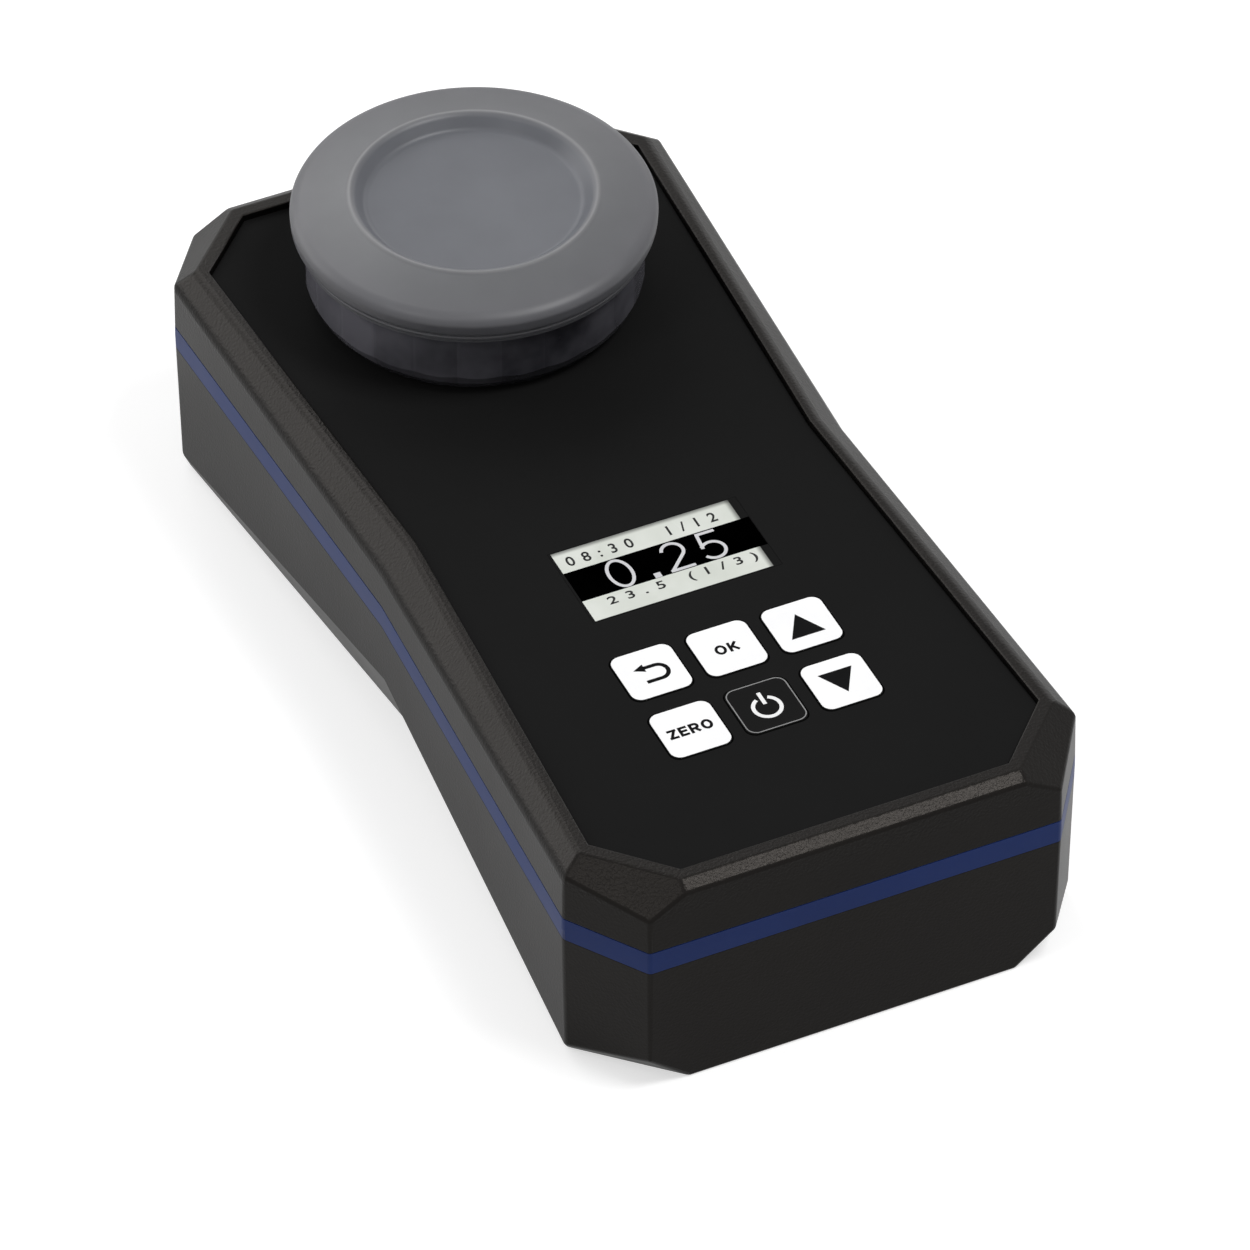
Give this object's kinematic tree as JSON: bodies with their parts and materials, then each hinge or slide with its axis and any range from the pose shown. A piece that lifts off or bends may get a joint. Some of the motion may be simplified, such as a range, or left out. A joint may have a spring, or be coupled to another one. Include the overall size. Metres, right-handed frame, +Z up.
{
  "type": "photometer",
  "caption": "Handheld water photometer with a waisted two-part housing, keypad, small display and a round measuring well under a lift-off light cap.",
  "frame": {"origin": "centre of the overall box at its base, which is the flat underside of the lower shell", "axes": "+Z up out of the front panel, +X to the right when the keys are read, +Y from the keys towards the measuring well"},
  "size_m": [0.0764, 0.155, 0.0523],
  "materials": {
    "housing_plastic": "fine moulded grain, satin",
    "blue_elastomer": "smooth satin",
    "black_rubber": "smooth",
    "panel_plastic": "smooth matt film",
    "clear_window": "clear and glossy",
    "display_glass": "pale reflective display",
    "backlight_plastic": "white diffuser",
    "mat_silicone": "matt",
    "cap_silicone": "matt, moulded",
    "smoked_acrylic": "polished facets",
    "clear_glass": "clear and polished",
    "block_plastic": "matt",
    "board_laminate": "solder mask, satin",
    "chip_plastic": "matt",
    "module_shield": "tinned sheet",
    "connector_plastic": "matt",
    "header_plastic": "matt",
    "lead_insulation": "satin",
    "holder_plastic": "satin",
    "battery_case": "printed sleeve, satin",
    "nickel_contact": "nickel plated",
    "screw_steel": "zinc plated",
    "red_lens": "tinted clear",
    "yellow_lens": "tinted clear",
    "green_lens": "tinted clear",
    "diode_lens": "dark tint",
    "key_plastic": "smooth satin"
  },
  "bodies": {
    "housing": {"battery_connector": "connector_plastic", "battery_contacts": "nickel_contact", "battery_door": "housing_plastic", "battery_door_screws": "screw_steel", "battery_door_seal": "black_rubber", "battery_holder": "holder_plastic", "battery_leads": "lead_insulation", "battery_left": "battery_case", "battery_middle": "battery_case", "battery_right": "battery_case", "battery_springs": "nickel_contact", "board_headers": "header_plastic", "board_screws": "screw_steel", "cuvette": "clear_glass", "cuvette_collar": "smoked_acrylic", "cuvette_seal": "black_rubber", "display_backlight": "backlight_plastic", "display_glass": "display_glass", "display_window": "clear_window", "emitter_board": "board_laminate", "front_panel": "panel_plastic", "green_emitter": "green_lens", "green_photodiode": "diode_lens", "housing_screws": "screw_steel", "housing_seal": "blue_elastomer", "keypad_mat": "mat_silicone", "lower_shell": "housing_plastic", "main_board": "board_laminate", "optics_block": "block_plastic", "optics_screws": "screw_steel", "processor_chip": "chip_plastic", "radio_module": "module_shield", "red_emitter": "red_lens", "red_photodiode": "diode_lens", "sensor_board": "board_laminate", "upper_shell": "housing_plastic", "yellow_emitter": "yellow_lens", "yellow_photodiode": "diode_lens"},
    "cap": {"light_cap": "cap_silicone"},
    "key_back": {"key_back": "key_plastic"},
    "key_down": {"key_down": "key_plastic"},
    "key_ok": {"key_ok": "key_plastic"},
    "key_power": {"key_power": "key_plastic"},
    "key_up": {"key_up": "key_plastic"},
    "key_zero": {"key_zero": "key_plastic"}
  },
  "joints": [
    {"name": "key_back_press", "type": "slide", "parent": "housing", "child": "key_back", "axis": [0, 0, -1], "range_m": [0, 0.0005], "stiffness_N_per_m": 600, "springref_m": -0.002},
    {"name": "key_down_press", "type": "slide", "parent": "housing", "child": "key_down", "axis": [0, 0, -1], "range_m": [0, 0.0005], "stiffness_N_per_m": 600, "springref_m": -0.002},
    {"name": "key_ok_press", "type": "slide", "parent": "housing", "child": "key_ok", "axis": [0, 0, -1], "range_m": [0, 0.0005], "stiffness_N_per_m": 600, "springref_m": -0.002},
    {"name": "key_power_press", "type": "slide", "parent": "housing", "child": "key_power", "axis": [0, 0, -1], "range_m": [0, 0.0005], "stiffness_N_per_m": 600, "springref_m": -0.002},
    {"name": "key_up_press", "type": "slide", "parent": "housing", "child": "key_up", "axis": [0, 0, -1], "range_m": [0, 0.0005], "stiffness_N_per_m": 600, "springref_m": -0.002},
    {"name": "key_zero_press", "type": "slide", "parent": "housing", "child": "key_zero", "axis": [0, 0, -1], "range_m": [0, 0.0005], "stiffness_N_per_m": 600, "springref_m": -0.002},
    {"name": "cap_lift", "type": "slide", "parent": "housing", "child": "cap", "axis": [0, 0, 1], "range_m": [0, 0.025]}
  ]
}
